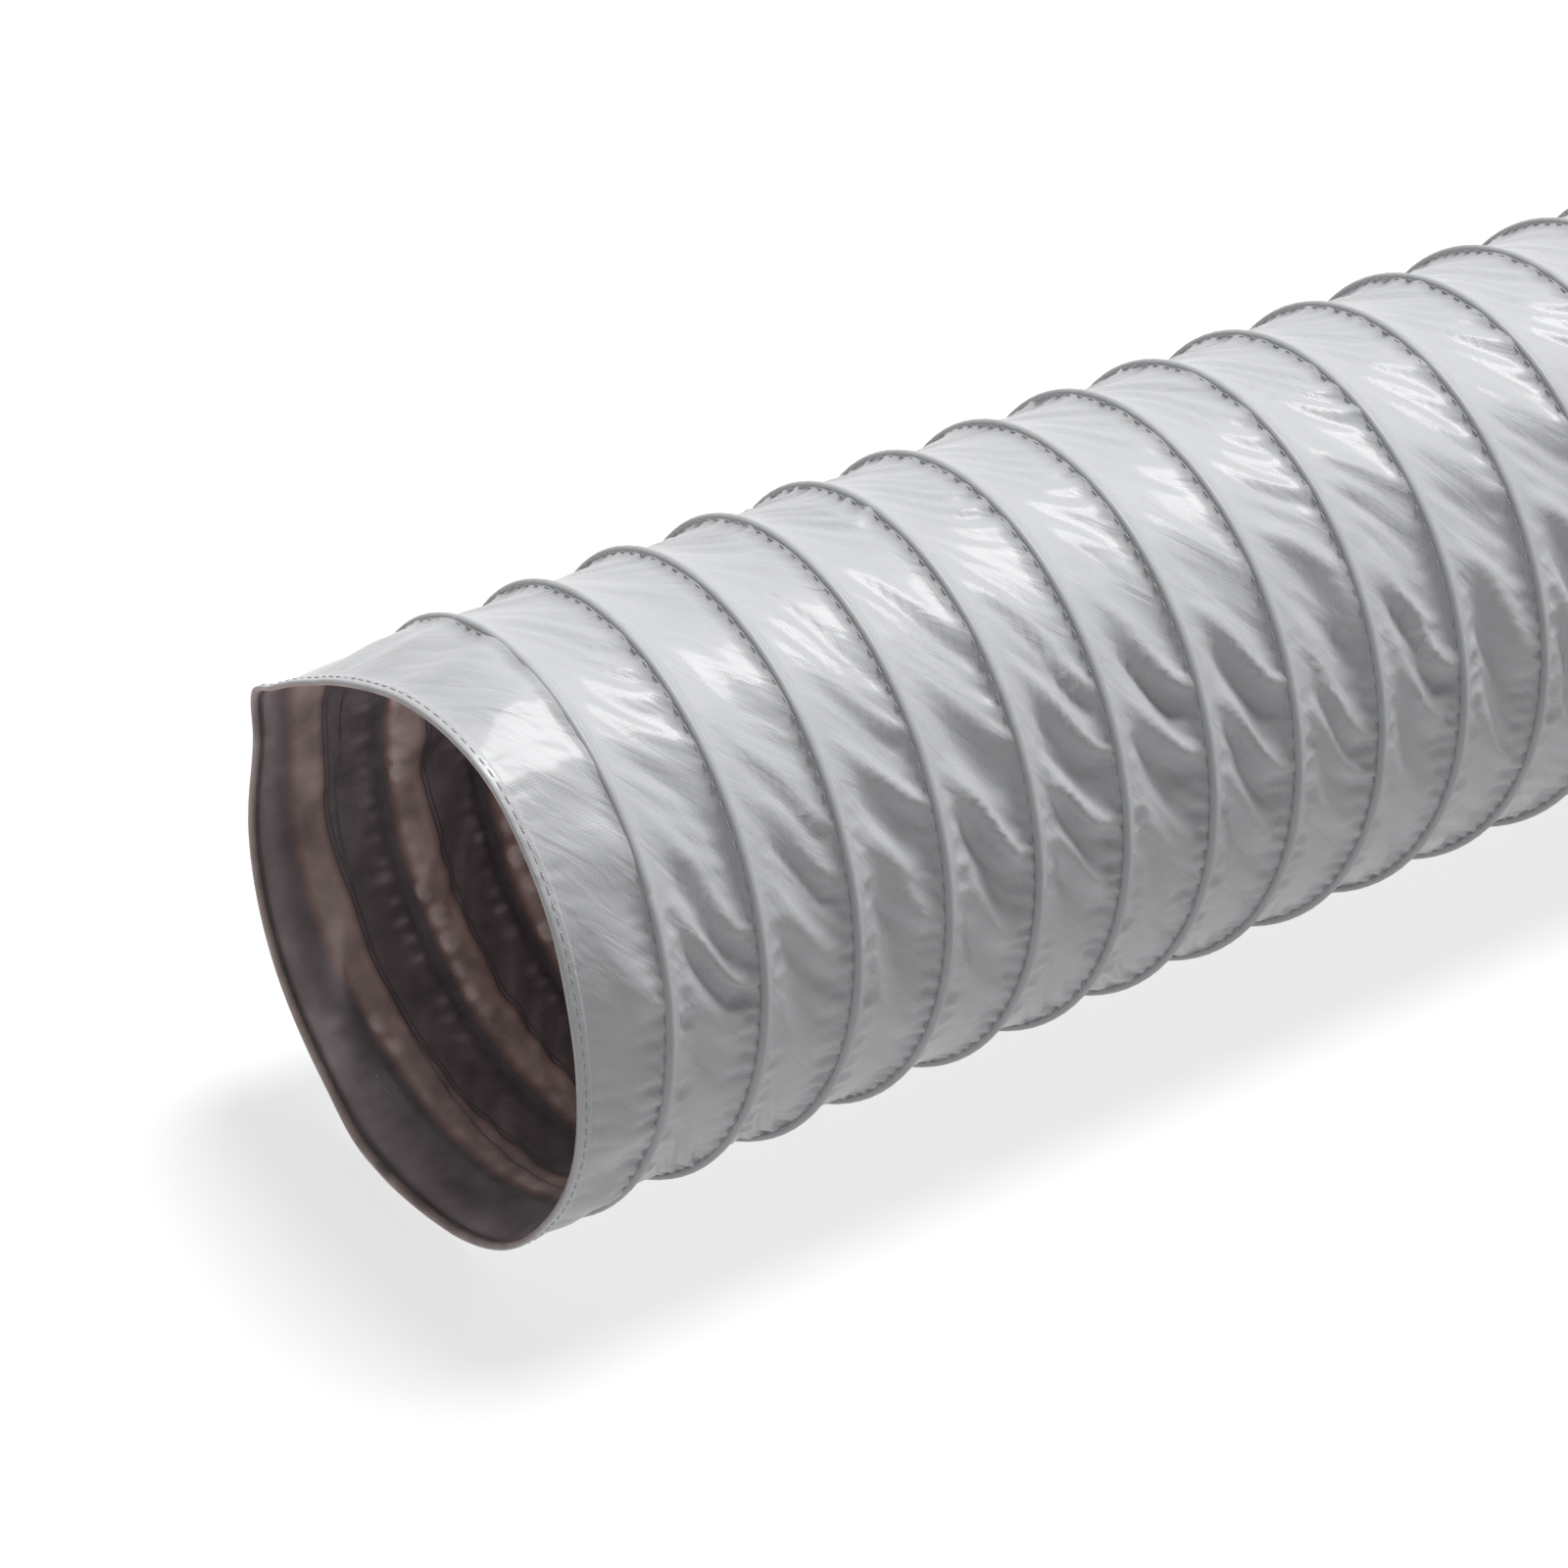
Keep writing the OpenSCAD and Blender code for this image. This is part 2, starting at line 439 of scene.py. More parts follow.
def fold_layer(f, run, spacing, slant, random):
    """Slanting folds about 1 deep, each a narrow ridge over a round hollow, and how far
    along the strip each point's fold started."""
    swing = slant * sizes().pitch * (1 + .2 * soft_noise(run, 90 * MM, random))
    slid = run - swing * eased((f - .1) / .86) + .05 * spacing * np.sin(7 * f + run / (19 * MM))
    count = int(np.ptp(run) / spacing * 1.6) + 40
    ridges = run.min() - 60 * MM + np.cumsum(spacing * random.uniform(.55, 1.45, count))
    heights = .35 + .95 * random.uniform(0, 1, count) ** 1.1
    k = np.clip(np.searchsorted(ridges, slid) - 1, 0, count - 2)
    phase = (slid - ridges[k]) / (ridges[k + 1] - ridges[k])
    width = (ridges[k + 1] - ridges[k]) / spacing
    height = heights[k] * (1 - eased(phase)) + heights[k + 1] * eased(phase)
    # It drops steeply from its ridge and climbs slowly to the next
    fall = .4 - .15 * eased((f - .3) / .6)
    profile = np.where(phase < fall, 1 - np.sin(math.pi / 2 * np.clip(phase / fall, 0, 1)) ** .9,
                       np.clip((phase - fall) / (1 - fall), 0, 1) ** 1.6)
    profile -= .16 * np.exp(-(np.minimum(phase, 1 - phase) / .055) ** 2)
    return height * np.minimum(width, 1.2) * (profile - .64), slid


def folds(f, a):
    """Height of the fabric over the cylinder between two ribs: bold and small folds that
    start flat at one rib and end in tips at the next, long streaks, and the sag."""
    z = sizes()
    random = np.random.default_rng(FOLD_SEED)
    run = SKIN_R * a
    bold, slid = fold_layer(f, run, z.fold, 1.05, random)
    small, _ = fold_layer(f, run, z.fold * .41, .8, random)
    across = eased((f - .14) / .32) * (1 - np.clip((f - .45) / .55, 0, 1) ** 4) ** .8
    streaks = .34 * MM * soft_noise(slid, 10 * MM, random) * (1 - .6 * side_weight(a))
    sag = -1.1 * MM * np.sin(math.pi * np.clip(f, 0, 1)) ** .8
    return across * (z.fold_depth * side_weight(a) * (bold + .17 * small) + streaks) + sag


def nearest_rib(x, a):
    """Distance along the duct past the nearest turn of the wire's line, and 1 where that
    line has wire on it."""
    z = sizes()
    beside = (x - WIRE_X) / z.pitch - WIRE_TURN + a / (2 * math.pi)
    off = (beside - np.round(beside)) * z.pitch
    t = (x - off - WIRE_X) / z.pitch
    return off, eased((t + .03) / .03) * eased((TURNS + .03 - t) / .03)


def channel(x, a):
    """Height of the fabric over the cylinder where it is drawn up along the wire, most on
    top, where its weight pulls it down round the wire."""
    off, wired = nearest_rib(x, a)
    height = (1.15 + .65 * clock_bump(a, 0, 50)) * MM
    return wired * height * np.exp(-(off / (2 * MM)) ** 2)


def scattered(run, spacing, random, *ranges):
    """Marks strewn along a line: how far past the nearest one each point is, and that
    mark's own value from each range."""
    count = int(np.ptp(run) / spacing * 1.5) + 9
    at = run.min() + np.cumsum(spacing * random.uniform(.7, 1.3, count))
    k = np.searchsorted((at[1:] + at[:-1]) / 2, run)
    return run - at[k], [random.uniform(*span, count)[k] for span in ranges]


def fine_puckers(f, turn, a):
    """Small creases where the seam gathers the fabric: short ones before each rib and
    oval dents beyond the lap's edge."""
    random = np.random.default_rng(PUCKER_SEED)
    run = 2 * math.pi * SKIN_R * turn
    off, (deep, reach) = scattered(run, 5.6 * MM, random, (.4, 1.5), (.07, .19))
    before = deep * np.exp(-(off / (1.5 * MM)) ** 2) * np.exp(-((f - .93) / reach) ** 2)
    off, (deep, shift) = scattered(run, 6.9 * MM, random, (.2, 1.5), (-.02, .025))
    beyond = deep * np.clip(1 - (off / (3.3 * MM)) ** 2 - ((f - .205 - shift) / .085) ** 2,
                            0, 1) ** .6
    side = np.abs((np.degrees(a) + 180) % 360 - 180)
    most = eased((side - 42) / 42) * (1 - .6 * eased((side - 125) / 40))
    return -(before + beyond) * (.04 + .96 * most) * MM


def cuff_dents(x, a, mouth):
    """Soft dents in the loose cuff, and small gathers beside its hem."""
    random = np.random.default_rng(DENT_SEED)
    run = SKIN_R * a
    in_cuff = np.clip(mouth, 0, 1)
    swell = np.zeros_like(run)
    for _ in range(7):
        turns, slope = random.integers(5, 26), random.uniform(-60, 60)
        swell += np.sin(turns * a + slope * (x - FRONT) + random.uniform(0, 6.3)) / 2.6
    off, (deep, reach) = scattered(run, 6.5 * MM, random, (0, .5), (1.5, 4))
    near_hem = deep * np.exp(-(off / (1.6 * MM)) ** 2) * np.exp(
        -((x - FRONT - 5.5 * MM) / (reach * MM)) ** 2) * (in_cuff > 0)
    held = 6.75 * in_cuff * (1 - in_cuff) ** 2
    return (held * (1.2 + swell) - near_hem) * MM


def skin():
    """Outer skin of the whole duct as a mesh of bands that follow the ribs, cut at the
    stations where its pieces meet."""
    z = sizes()
    rows, column = np.array(ROWS), np.arange(COLUMNS)
    first, last = -2, TURNS + 1
    turns = np.concatenate([n + rows for n in range(first, last)])[:, None]
    f = np.tile(rows, last - first)[:, None]
    a = 2 * math.pi * column[None, :] / COLUMNS + 0 * turns
    strip_turn = a / (2 * math.pi) - np.floor(turns + 1e-9)
    x = WIRE_X + z.pitch * (WIRE_TURN + turns - a / (2 * math.pi))
    # Past the wire's ends nothing draws the fabric into folds
    calm = 1 - .7 * eased((strip_turn - WIRE_TURN + .06) / .14)
    calm *= 1 - .7 * eased((WIRE_TURN - TURNS + 1.08 - strip_turn) / .14)
    wired = nearest_rib(x, a)[1]
    mouth, far = near_mouth(x, a), near_mouth(x, a, rear=True)
    loose = 1 - eased(np.maximum(mouth, far) / .95)
    smooth = folds(f, 2 * math.pi * strip_turn) * calm * loose + cuff_dents(x, a, mouth)
    # The lap's upper layer starts beside the wire and ends in a step
    lap = z.lap_step * (f > .02) * (f < LAP_EDGE) * wired
    fine = (fine_puckers(f, strip_turn, a) * wired + lap + channel(x, a)) * loose
    r = SKIN_R + smooth + fine + (round_the_mouth(a, False, RADIUS) - SKIN_R) * mouth
    r = r + (round_the_mouth(a, True, RADIUS) - SKIN_R) * far
    spots = raised(round_duct(x, a, r))
    # The inner layer starts past the hem and runs on smoothly under the puckers and the wire
    second, run_in = .8 * MM, 9 * MM
    inset = np.minimum(x - FRONT, REAR - x)
    thick = z.fabric_t + second * eased((inset - z.hem_width) / run_in) + fine
    thick = np.maximum(thick, second)

    # Once round, a row joins the row that lies one turn of the wire before it
    per = len(ROWS)
    q, c = np.meshgrid(np.arange(len(turns) - 1), column, indexing="ij")
    corner_rows = np.stack([q, q, q + 1, q + 1], -1)
    corner_columns = np.stack([c, c + 1, c + 1, c], -1)
    quads = np.where(corner_columns < COLUMNS, corner_rows * COLUMNS + corner_columns,
                     (corner_rows - per) * COLUMNS)
    us, vs = turns[corner_rows, 0], corner_columns / COLUMNS
    good = (quads.min(-1) >= 0) & (q >= per)
    # Bands that lie wholly past the two ends are left out
    xs = x.reshape(-1)[np.clip(quads, 0, None)]
    good &= (xs.max(-1) > FRONT - 1e-6) & (xs.min(-1) < REAR + 1e-6)
    quads, us, vs = quads[good], us[good], vs[good]
    used, quads = np.unique(quads, return_inverse=True)
    quads = quads.reshape(-1, 4)
    mesh = mesh_of("skin", spots.reshape(-1, 3)[used], quads.reshape(-1),
                   np.arange(len(quads)) * 4, np.stack([us.ravel(), vs.ravel()], -1))
    layer = mesh.attributes.new("thick", "FLOAT", "POINT")
    layer.data.foreach_set("value", thick.ravel()[used].astype(np.float32))
    net = bmesh.new()
    net.from_mesh(mesh)
    for station in (FRONT, *CUTS, REAR):
        bmesh.ops.bisect_plane(
            net, geom=net.verts[:] + net.edges[:] + net.faces[:], dist=1e-6,
            plane_co=(station, 0, 0), plane_no=(1, 0, 0),
            clear_inner=station == FRONT, clear_outer=station == REAR)
    net.to_mesh(mesh)
    net.free()
    return mesh


def mesh_of(name, points, corners, starts, uv=None):
    """A mesh from arrays: its points, its faces' corners in a row and where each face starts."""
    mesh = bpy.data.meshes.new(name)
    mesh.vertices.add(len(points))
    mesh.vertices.foreach_set("co", np.ascontiguousarray(points, np.float32).ravel())
    mesh.loops.add(len(corners))
    mesh.loops.foreach_set("vertex_index", np.ascontiguousarray(corners, np.int32))
    mesh.polygons.add(len(starts))
    mesh.polygons.foreach_set("loop_start", np.ascontiguousarray(starts, np.int32))
    mesh.update(calc_edges=True)
    if uv is not None:
        layer = mesh.uv_layers.new(name="strip")
        layer.data.foreach_set("uv", np.ascontiguousarray(uv, np.float32).ravel())
    mesh.shade_smooth()
    return mesh


def read(mesh):
    """A mesh's points, point normals, corners, face starts, face sizes and UVs as arrays."""
    def got(items, name, *width):
        values = np.empty((len(items), *width), np.float32 if width else np.int32)
        items.foreach_get(name, values.ravel())
        return values

    return (got(mesh.vertices, "co", 3).astype(float),
            got(mesh.vertices, "normal", 3).astype(float),
            got(mesh.loops, "vertex_index"), got(mesh.polygons, "loop_start"),
            got(mesh.polygons, "loop_total"), got(mesh.uv_layers[0].data, "uv", 2))


def reshaped(mesh, points):
    """Moves a mesh's points and reads it again."""
    mesh.vertices.foreach_set("co", points.astype(np.float32).ravel())
    mesh.update()
    return read(mesh)


def stand_out(points):
    """Lets the mouths' lowest edges stand out a little past the duct's ends."""
    a = np.arctan2(-points[:, 1], points[:, 2] - AXIS_Z)
    x = points[:, 0].copy()
    for rear, (_, sense, _) in enumerate(ENDS):
        near = np.maximum(near_mouth(x, a, rear), 0)
        points[:, 0] -= sense * near ** 2 * round_the_mouth(a, rear, STAND_OUT)
    return points


def two_skinned(name, whole, keep):
    """A closed piece of the wall: the faces of the whole skin that are kept, the inner skin
    under them, and a narrow edge that joins the two."""
    points, normals, inside, inward, corners, starts, counts, uv = whole
    index = np.flatnonzero(keep)
    counts = counts[index]
    begin = np.concatenate([[0], np.cumsum(counts)[:-1]])
    loops = np.repeat(starts[index] - begin, counts) + np.arange(counts.sum())
    used, local = np.unique(corners[loops], return_inverse=True)
    n = len(used)
    uv = uv[loops]
    both = np.concatenate([points[used], inside[used]])
    # An edge that no second face shares in the other direction lies on the rim
    following = np.arange(len(loops)) + 1
    following[begin + counts - 1] = begin
    one, two = local, local[following]
    lone = ~np.isin(one * n + two, two * n + one)
    rim = np.stack([two[lone], one[lone], one[lone] + n, two[lone] + n], -1)
    rim_uv = np.stack([uv[following][lone], uv[lone], uv[lone], uv[following][lone]], 1)
    # Inner faces run the other way round
    back = np.repeat(begin + counts - 1 + begin, counts) - np.arange(len(loops))
    all_corners = np.concatenate([local, local[back] + n, rim.ravel()])
    base = 2 * len(loops)
    all_starts = np.concatenate([begin, begin + len(loops), base + 4 * np.arange(len(rim))])
    all_uv = np.concatenate([uv, uv[back], rim_uv.reshape(-1, 2)])
    mesh = mesh_of(name, both, all_corners, all_starts, all_uv)
    side = np.repeat(np.array([0, 1, 0], np.int32), [len(index), len(index), len(rim)])
    mesh.polygons.foreach_set("material_index", side)
    by_corner = np.concatenate([normals[used], -inward[used]])[all_corners]
    rim_way = np.zeros((len(rim), 3))
    stations = both[:n, 0]
    middle = (stations.min() + stations.max()) / 2
    rim_way[:, 0] = np.where(both[rim].mean(1)[:, 0] > middle, 1, -1)
    by_corner[base:] = np.repeat(rim_way, 4, axis=0)
    mesh.normals_split_custom_set(by_corner.astype(np.float32))
    return mesh


def add_piece(name, mesh, *materials):
    made = bpy.data.objects.new(name, mesh)
    bpy.context.scene.collection.objects.link(made)
    for m in materials:
        mesh.materials.append(m)
    return made


def carried(piece, body, slot, *nodes):
    """Sets what a piece rides on and hides the nodes that it stands for. Its slot is not used.
    """
    if body == "front":
        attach(piece, "front_end")
    elif body == "rear":
        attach(piece, "rear_end")
    elif body == "squeezed":
        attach(piece, "sleeve")
        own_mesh(piece)
    else:
        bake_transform(piece)
    if nodes:
        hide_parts(*nodes)


# The rounds of fabric from the front end on: name, what each rides on and its CAD node
ROUNDS = (("cuff_front", "front", "front_cuff"), ("wall_front_1", "squeezed", "duct_wall"),
          ("wall_front_2", "squeezed", "duct_wall"), ("wall_rear_1", "bent", "duct_wall"),
          ("wall_rear_2", "bent", "duct_wall"), ("wall_rear_3", "bent", "duct_wall"),
          ("cuff_rear", "rear", "rear_cuff"))


class DUCT_OT_wall(bpy.types.Operator):
    """Make the wound fabric wall and the two plain cuffs"""
    bl_idname = "duct.wall"
    bl_label = "Wall and cuffs"

    def execute(self, context):
        c = colours()
        outer = coated_fabric("coated woven polyester", tuple(c.fabric), .44)
        inner = lining("fabric lining", tuple(c.lining_lap), tuple(c.lining_single))
        mesh = skin()
        moved = reshaped(mesh, stand_out(read(mesh)[0]))
        points, normals, corners, starts, counts, uv = moved
        centre = np.add.reduceat(points[corners, 0], starts) / counts
        thick = np.empty(len(points), np.float32)
        mesh.attributes["thick"].data.foreach_get("value", thick)
        inside = raised(points - unit(points * (0, 1, 1) - (0, 0, AXIS_Z)) * thick[:, None],
                        LINING_LIFT)
        whole = (points, normals, inside, reshaped(mesh, inside)[1], corners, starts, counts, uv)
        # The mouths' edges stand out past both ends
        stations = (-math.inf, *CUTS, math.inf)
        for (name, body, stands_for), x0, x1 in zip(ROUNDS, stations, stations[1:]):
            made = two_skinned(name, whole, (centre > x0) & (centre <= x1))
            piece = add_piece(name, made, outer, inner)
            carried(piece, body, "duct_fabric", stands_for)
        bpy.data.meshes.remove(mesh)
        return {"FINISHED"}


def circles(out, side, sides):
    """For each point a circle of ways, from out of the duct towards one side."""
    angle = 2 * math.pi * np.arange(sides) / sides
    return (np.cos(angle)[None, :, None] * out[:, None]
            + np.sin(angle)[None, :, None] * side[:, None])


def tube_faces(count, sides):
    """Corners of a tube's faces, with count rings, and of the faces that close its ends."""
    i, k = np.meshgrid(np.arange(count - 1), np.arange(sides), indexing="ij")
    j = (k + 1) % sides
    quads = np.stack([i * sides + k, i * sides + j, (i + 1) * sides + j, (i + 1) * sides + k],
                     -1).reshape(-1, 4)
    ends = np.stack([np.arange(sides)[::-1], (count - 1) * sides + np.arange(sides)])
    return quads, ends


def face_rows(quads, ends):
    """All corners in a row, and where each face starts in it."""
    starts = np.concatenate([4 * np.arange(len(quads)),
                             4 * len(quads) + ends.shape[1] * np.arange(len(ends))])
    return np.concatenate([quads.ravel(), ends.ravel()]), starts


def tube(spine, radius, sides, way):
    """A closed round tube along a spine, its ends rounded off. way points out of the duct."""
    ahead = unit(np.gradient(spine, axis=0))
    out = unit(way - (way * ahead).sum(1, keepdims=True) * ahead)
    circle = circles(out, np.cross(ahead, out), sides)
    body = spine[:, None, :] + radius * circle
    # Each end has two narrower rings: their share of the radius, and how far on they lie
    start = [spine[0] - ahead[0] * radius * d + radius * s * circle[0]
             for s, d in ((.45, .9), (.8, .6))]
    end = [spine[-1] + ahead[-1] * radius * d + radius * s * circle[-1]
           for s, d in ((.8, .6), (.45, .9))]
    rows = np.concatenate([np.array(start), body, np.array(end)])
    return raised(rows.reshape(-1, 3)), *face_rows(*tube_faces(len(rows), sides))


def wire_spine(t, shift=0.0, r=None):
    """Points of the wire's helix after t turns from its front end, and where round it."""
    z = sizes()
    a = 2 * math.pi * (WIRE_TURN - t)
    return round_duct(WIRE_X + shift + t * z.pitch, a, (z.wire_r if r is None else r) + 0 * t), a


def lengths_of_wire():
    """The three lengths of the wire, on the front cuff, squeezed and bent: part of the
    name, what it rides on, and its first and last turn."""
    cuffed, border = ((x - WIRE_X) / sizes().pitch for x in (WALL_LO.x, BORDER))
    return (("start", "front", 0, cuffed), ("front", "squeezed", cuffed, border),
            ("rear", "bent", border, TURNS))


def add_length(name, shape, finish, body, slot, stands_for):
    """Adds one length of the wire or the seam. The one on the cuff stands for no node."""
    piece = add_piece(name, mesh_of(name, *shape), finish)
    carried(piece, body, slot, *(() if body == "front" else (stands_for,)))


class DUCT_OT_wire(bpy.types.Operator):
    """Make the coated spring wire"""
    bl_idname = "duct.wire"
    bl_label = "Spring wire"

    def execute(self, context):
        coat = plastic_coat("vinyl coated wire", tuple(colours().wire))
        rings_a_turn, sides = 90, 10
        for part, body, t0, t1 in lengths_of_wire():
            spine, a = wire_spine(np.linspace(t0, t1, int((t1 - t0) * rings_a_turn) + 2))
            add_length(f"wire_{part}", tube(spine, sizes().wire_d / 2, sides, outward(a)), coat,
                       body, "wire_coat", "wire_helix")
        return {"FINISHED"}


def stitches(places, ahead, out, size, thick):
    """Many short threads in one mesh, each a small rounded bar that dips in at its ends."""
    # Each ring of a stitch: its place along it, its width, and its lift in thicknesses
    sides, profile = 6, ((-.5, .1, -.55), (-.42, .8, -.2), (-.2, 1, .1), (.2, 1, .1),
                         (.42, .8, -.2), (.5, .1, -.55))
    circle = circles(out, np.cross(ahead, out), sides)
    points = np.stack([(places + ahead * along * size + out * lift * thick)[:, None]
                       + thick / 2 * wide * circle for along, wide, lift in profile], 1)
    first = len(profile) * sides * np.arange(len(places))[:, None, None]
    quads, ends = ((first + faces[None]).reshape(-1, faces.shape[1])
                   for faces in tube_faces(len(profile), sides))
    return raised(points.reshape(-1, 3), STITCH_LIFT), *face_rows(quads, ends)


class DUCT_OT_seam(bpy.types.Operator):
    """Make the stitches of the helical seam beside the wire"""
    bl_idname = "duct.seam"
    bl_label = "Helical seam"

    def execute(self, context):
        z = sizes()
        thread = sewing_thread("polyester thread", tuple(colours().thread))
        thickness, first_turn = .36 * MM, .003
        shift = -(z.wire_d / 2 + .3 * MM)
        around = 2 * math.pi * SKIN_R
        for part, body, t0, t1 in lengths_of_wire():
            t = np.arange(math.ceil(t0 * around / z.stitch),
                          math.floor(t1 * around / z.stitch)) * z.stitch / around + first_turn
            # The thread is pulled into the fabric on top of the duct, where that is taut
            turned = 2 * math.pi * (WIRE_TURN - t)
            lie = (SKIN_R - (.09 + .16 * clock_bump(turned, 10, 45)) * MM
                   + channel(WIRE_X + shift + t * z.pitch, turned))
            here, a = wire_spine(t, shift, lie)
            ahead = unit(wire_spine(t + .0005, shift, lie)[0] - here)
            shape = stitches(here, ahead, outward(a), z.stitch * .5, thickness)
            add_length(f"seam_{part}", shape, thread, body, "thread", "seam_thread")
        return {"FINISHED"}


def rim_line(a, rear, inset):
    """Stations and radii of the skin at a mouth, inset along the duct from its edge."""
    edge, sense, _ = ENDS[rear]
    x = edge + sense * inset + 0 * a
    near = near_mouth(x, a, rear)
    r = SKIN_R + (round_the_mouth(a, rear, RADIUS) - SKIN_R) * near
    if not rear:
        r = r + cuff_dents(x, a, near)
    return x - sense * round_the_mouth(a, rear, STAND_OUT) * near ** 2, r


def hem_mesh(name, rear):
    """A strip folded over a mouth's edge: a flat band outside, a round fold, a band inside."""
    z = sizes()
    a = 2 * math.pi * np.arange(COLUMNS) / COLUMNS
    w, t = z.hem_width, z.fabric_t
    # Each corner of the band's section: inset from the edge, and height over the skin
    section = [(w, -.02 * MM), (w - .06 * MM, .3 * MM), (w - .35 * MM, .45 * MM),
               (.62 * w, .42 * MM), (.5 * w, .36 * MM), (.38 * w, .42 * MM),
               (.12 * w, .48 * MM), (-.2 * MM, .3 * MM), (-.4 * MM, -.2 * MM),
               (-.25 * MM, -t - .4 * MM), (.1 * w, -t - .65 * MM), (.42 * w, -t - .6 * MM),
               (.5 * w, -t + .05 * MM)]
    rows = []
    for inset, height in section:
        x, r = rim_line(a, rear, inset)
        rows.append(raised(round_duct(x, a, r + height)))
    points = np.stack(rows, 1)
    sides = len(section)
    i, k = np.meshgrid(np.arange(COLUMNS), np.arange(sides), indexing="ij")
    i2, k2 = (i + 1) % COLUMNS, (k + 1) % sides
    quads = np.stack([i * sides + k, i * sides + k2, i2 * sides + k2, i2 * sides + k], -1)
    if rear:
        quads = quads[..., ::-1]
    # u puts the hem's inner faces in the lining's lighter one-layer band: painted light that
    # makes them less dark
    u = .1 + np.stack([k, k + 1, k + 1, k], -1) * .02
    v = np.stack([i, i, i + 1, i + 1], -1) / COLUMNS
    if rear:
        u, v = u[..., ::-1], v[..., ::-1]
    mesh = mesh_of(name, points.reshape(-1, 3), quads.reshape(-1),
                   np.arange(quads.size // 4) * 4, np.stack([u.ravel(), v.ravel()], -1))
    # The uncoated back of the strip faces into the duct
    mesh.polygons.foreach_set("material_index", (k >= HEM_BACK).astype(np.int32).ravel())
    return mesh


class DUCT_OT_hems(bpy.types.Operator):
    """Make the hem and its stitches round each mouth"""
    bl_idname = "duct.hems"
    bl_label = "Hems"

    def execute(self, context):
        z = sizes()
        cloth = coated_fabric("folded hem fabric", tuple(colours().hem), .34)
        thread = sewing_thread("hem thread", tuple(colours().thread))
        spacing, stitch, thickness = 4 * MM, 3 * MM, .4 * MM
        count = int(2 * math.pi * SKIN_R / spacing)
        a = 2 * math.pi * (np.arange(count) + .5) / count
        for end, rear in (("front", False), ("rear", True)):
            piece = add_piece(f"hem_{end}", hem_mesh(f"hem_{end}", rear), cloth,
                              bpy.data.materials["fabric lining"])
            carried(piece, end, "hem_fabric", f"{end}_hem")
            points = []
            for turned in (a - .001, a, a + .001):
                x, r = rim_line(turned, rear, z.hem_width / 2)
                points.append(round_duct(x, turned, r + thickness))
            ahead = unit(points[2] - points[0])
            out = unit(np.cross(ahead, np.array([1.0, 0, 0])))
            out *= np.sign((out * outward(a)).sum(1, keepdims=True))
            mesh = mesh_of(f"hem_thread_{end}",
                           *stitches(points[1], ahead, out, stitch, thickness))
            sewn = add_piece(f"hem_thread_{end}", mesh, thread)
            carried(sewn, end, "thread", f"{end}_hem_thread")
        return {"FINISHED"}


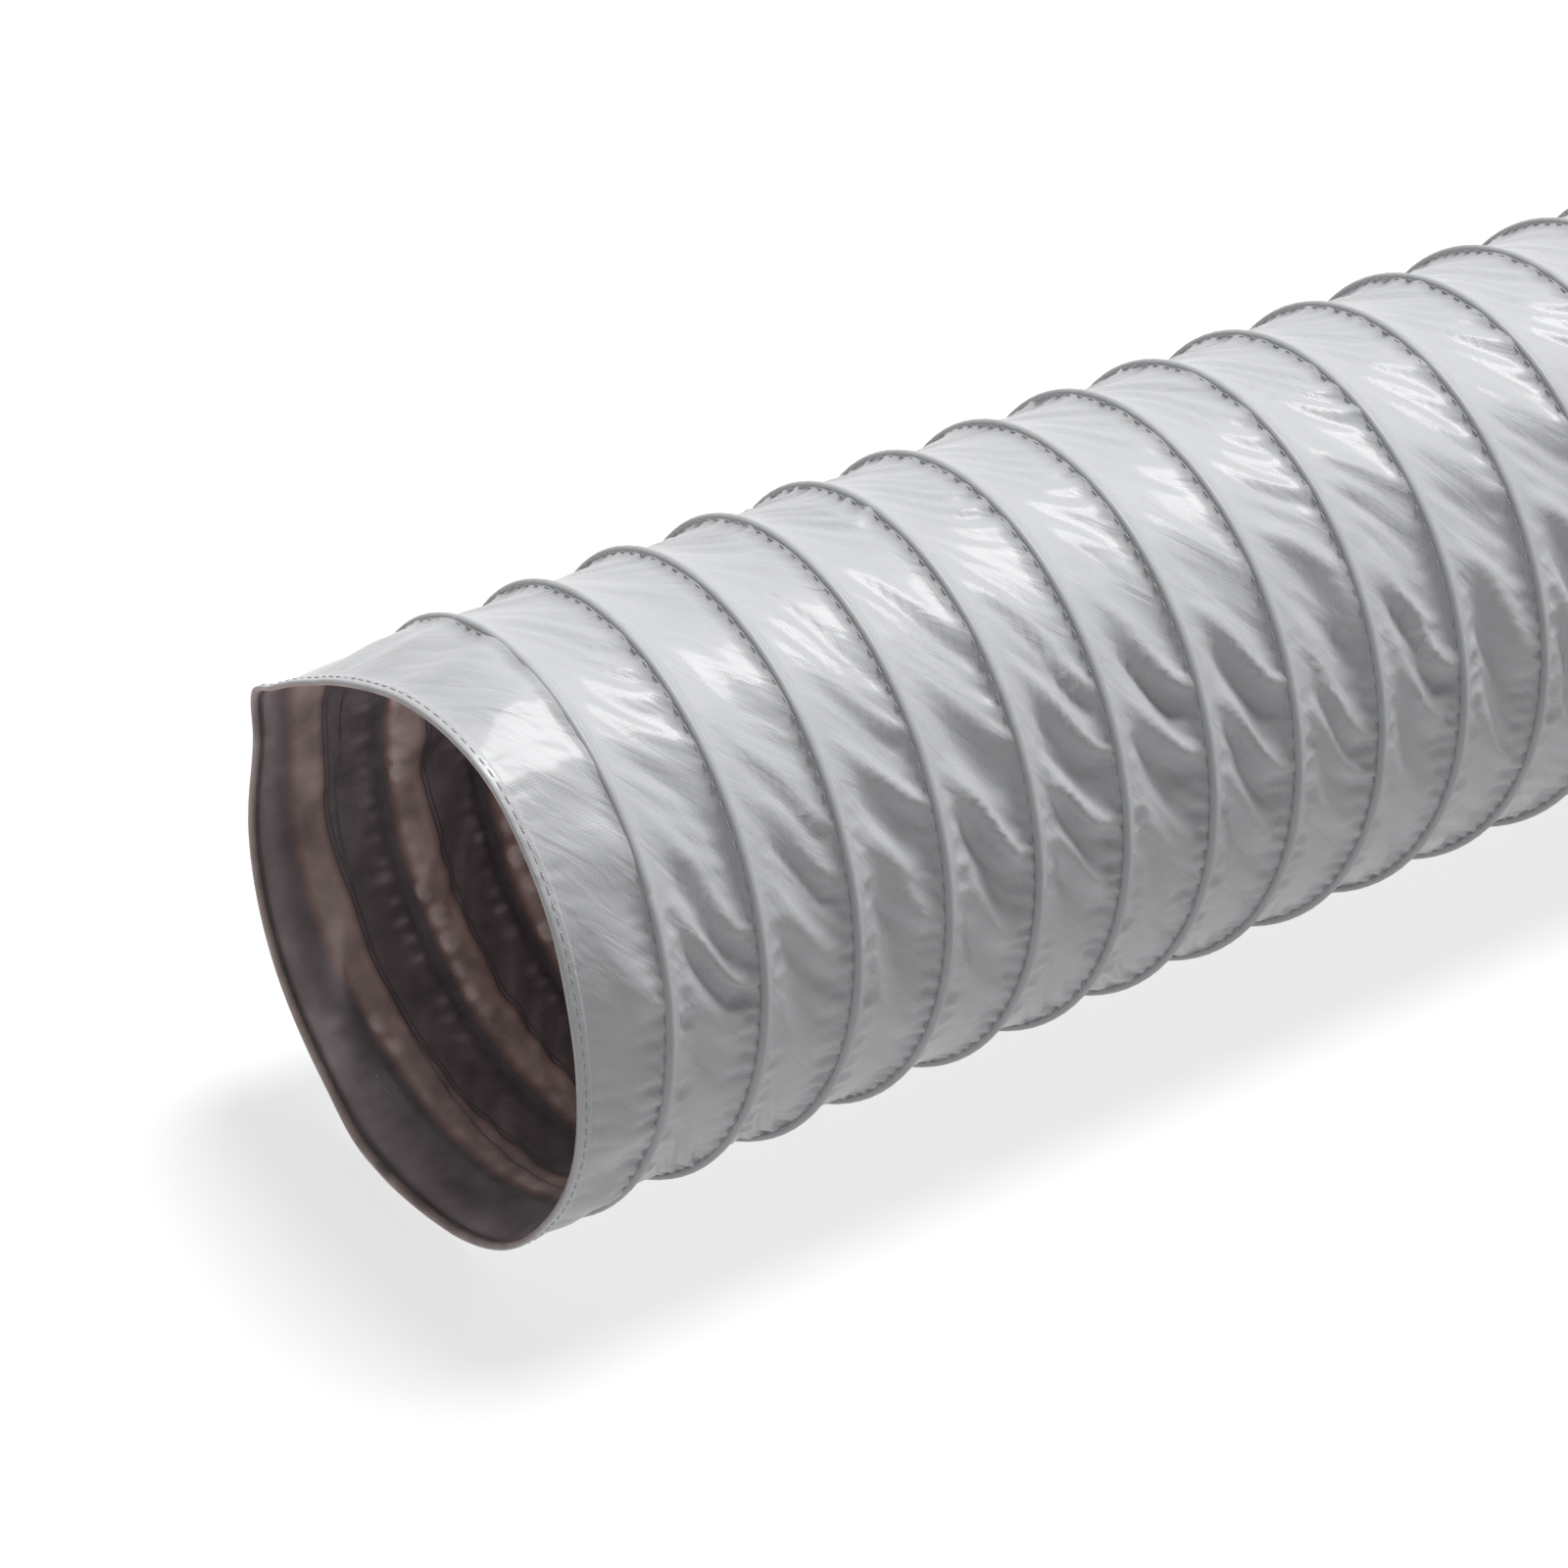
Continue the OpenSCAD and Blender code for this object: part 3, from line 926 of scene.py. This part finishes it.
class DUCT_OT_stage(bpy.types.Operator):
    """Make the floor, the studio light and the camera"""
    bl_idname = "duct.stage"
    bl_label = "Stage"

    def execute(self, context):
        scene = context.scene
        for old in [o for o in bpy.data.objects if o.type in ("CAMERA", "LIGHT")
                    or o.name == "Cube"]:
            bpy.data.objects.remove(old)
        bpy.ops.object.select_all(action="DESELECT")
        bpy.ops.mesh.primitive_plane_add(size=14, location=(0, 0, -.0002))
        floor = context.object
        floor.name = "floor"
        made, tree, surface = material("matt white paper")
        surface.inputs["Base Color"].default_value = (.45, .45, .45, 1)
        surface.inputs["Roughness"].default_value = .9
        surface.inputs["Specular IOR Level"].default_value = 0
        seen = seen_directly(tree)
        glow = node(tree, "ShaderNodeEmission", Strength=.72)
        white = node(tree, "ShaderNodeAddShader", _0=(surface, "BSDF"), _1=(glow, "Emission"))
        # A light table's pale glow fills the shade under the duct
        grey = node(tree, "ShaderNodeBsdfDiffuse", Color=(.25, .25, .25, 1))
        table = node(tree, "ShaderNodeEmission", Strength=.35)
        lit = node(tree, "ShaderNodeAddShader", _0=(grey, "BSDF"), _1=(table, "Emission"))
        both = node(tree, "ShaderNodeMixShader", _0=(seen, "Value"), _1=(lit, "Shader"),
                    _2=(white, "Shader"))
        tree.links.new(both.outputs[0], tree.nodes["Material Output"].inputs["Surface"])
        floor.data.materials.append(made)

        data = bpy.data.lights.new("softbox above", "AREA")
        data.shape, data.size, data.energy = "DISK", 3, 365
        lamp = bpy.data.objects.new("softbox above", data)
        scene.collection.objects.link(lamp)
        lamp.location = LAMP_AT
        lamp.rotation_euler = lamp.location.to_track_quat("Z", "Y").to_euler()
        sky = bpy.data.worlds.new("studio") if scene.world is None else scene.world
        scene.world = sky
        sky.use_nodes = True
        tree = sky.node_tree
        tree.nodes.clear()
        seen = seen_directly(tree)
        back = node(tree, "ShaderNodeBackground", Color=(1, 1, 1, 1), Strength=1.0)
        soft = node(tree, "ShaderNodeBackground", Color=(1, 1, 1, 1), Strength=.14)
        either = node(tree, "ShaderNodeMixShader", _0=(seen, "Value"),
                      _1=(soft, "Background"), _2=(back, "Background"))
        node(tree, "ShaderNodeOutputWorld", Surface=(either, "Shader"))

        around, above, roll = (math.radians(v) for v in CAMERA_WAY)
        behind = Vector((math.sin(around) * math.cos(above),
                         -math.cos(around) * math.cos(above), math.sin(above)))
        level = Vector((math.cos(around), math.sin(around), 0))
        upright = behind.cross(level)
        right = level * math.cos(roll) + upright * math.sin(roll)
        up = upright * math.cos(roll) - level * math.sin(roll)
        data = bpy.data.cameras.new("camera")
        data.lens, data.sensor_width, data.clip_end = 140.5, 36, 20
        camera = bpy.data.objects.new("camera", data)
        scene.collection.objects.link(camera)
        turn = Matrix((right, up, behind)).transposed().to_4x4()
        camera.matrix_world = Matrix.Translation(CAMERA_AT) @ turn
        scene.camera = camera
        scene.view_settings.view_transform = "Standard"
        return {"FINISHED"}


class DUCT_PT_panel(bpy.types.Panel):
    """Duct tools"""
    bl_label = "Air duct"
    bl_idname = "DUCT_PT_panel"
    bl_space_type = "VIEW_3D"
    bl_region_type = "UI"
    bl_category = "Duct"

    def draw(self, context):
        for group in (sizes(), colours()):
            for name in group.__annotations__:
                self.layout.prop(group, name)
        for step in STEPS:
            self.layout.operator(step.bl_idname)


STEPS = (DUCT_OT_stage, DUCT_OT_wall, DUCT_OT_wire, DUCT_OT_seam, DUCT_OT_hems)
CLASSES = (DuctSizes, DuctColours, *STEPS, DUCT_PT_panel)


def register():
    for each in CLASSES:
        bpy.utils.register_class(each)
    bpy.types.Scene.duct_sizes = bpy.props.PointerProperty(type=DuctSizes)
    bpy.types.Scene.duct_colours = bpy.props.PointerProperty(type=DuctColours)


def unregister():
    del bpy.types.Scene.duct_sizes, bpy.types.Scene.duct_colours
    for each in reversed(CLASSES):
        bpy.utils.unregister_class(each)


def main():
    register()
    bpy.ops.duct.stage()
    bpy.ops.duct.wall()
    bpy.ops.duct.wire()
    bpy.ops.duct.seam()
    bpy.ops.duct.hems()


if __name__ == "__main__":
    main()
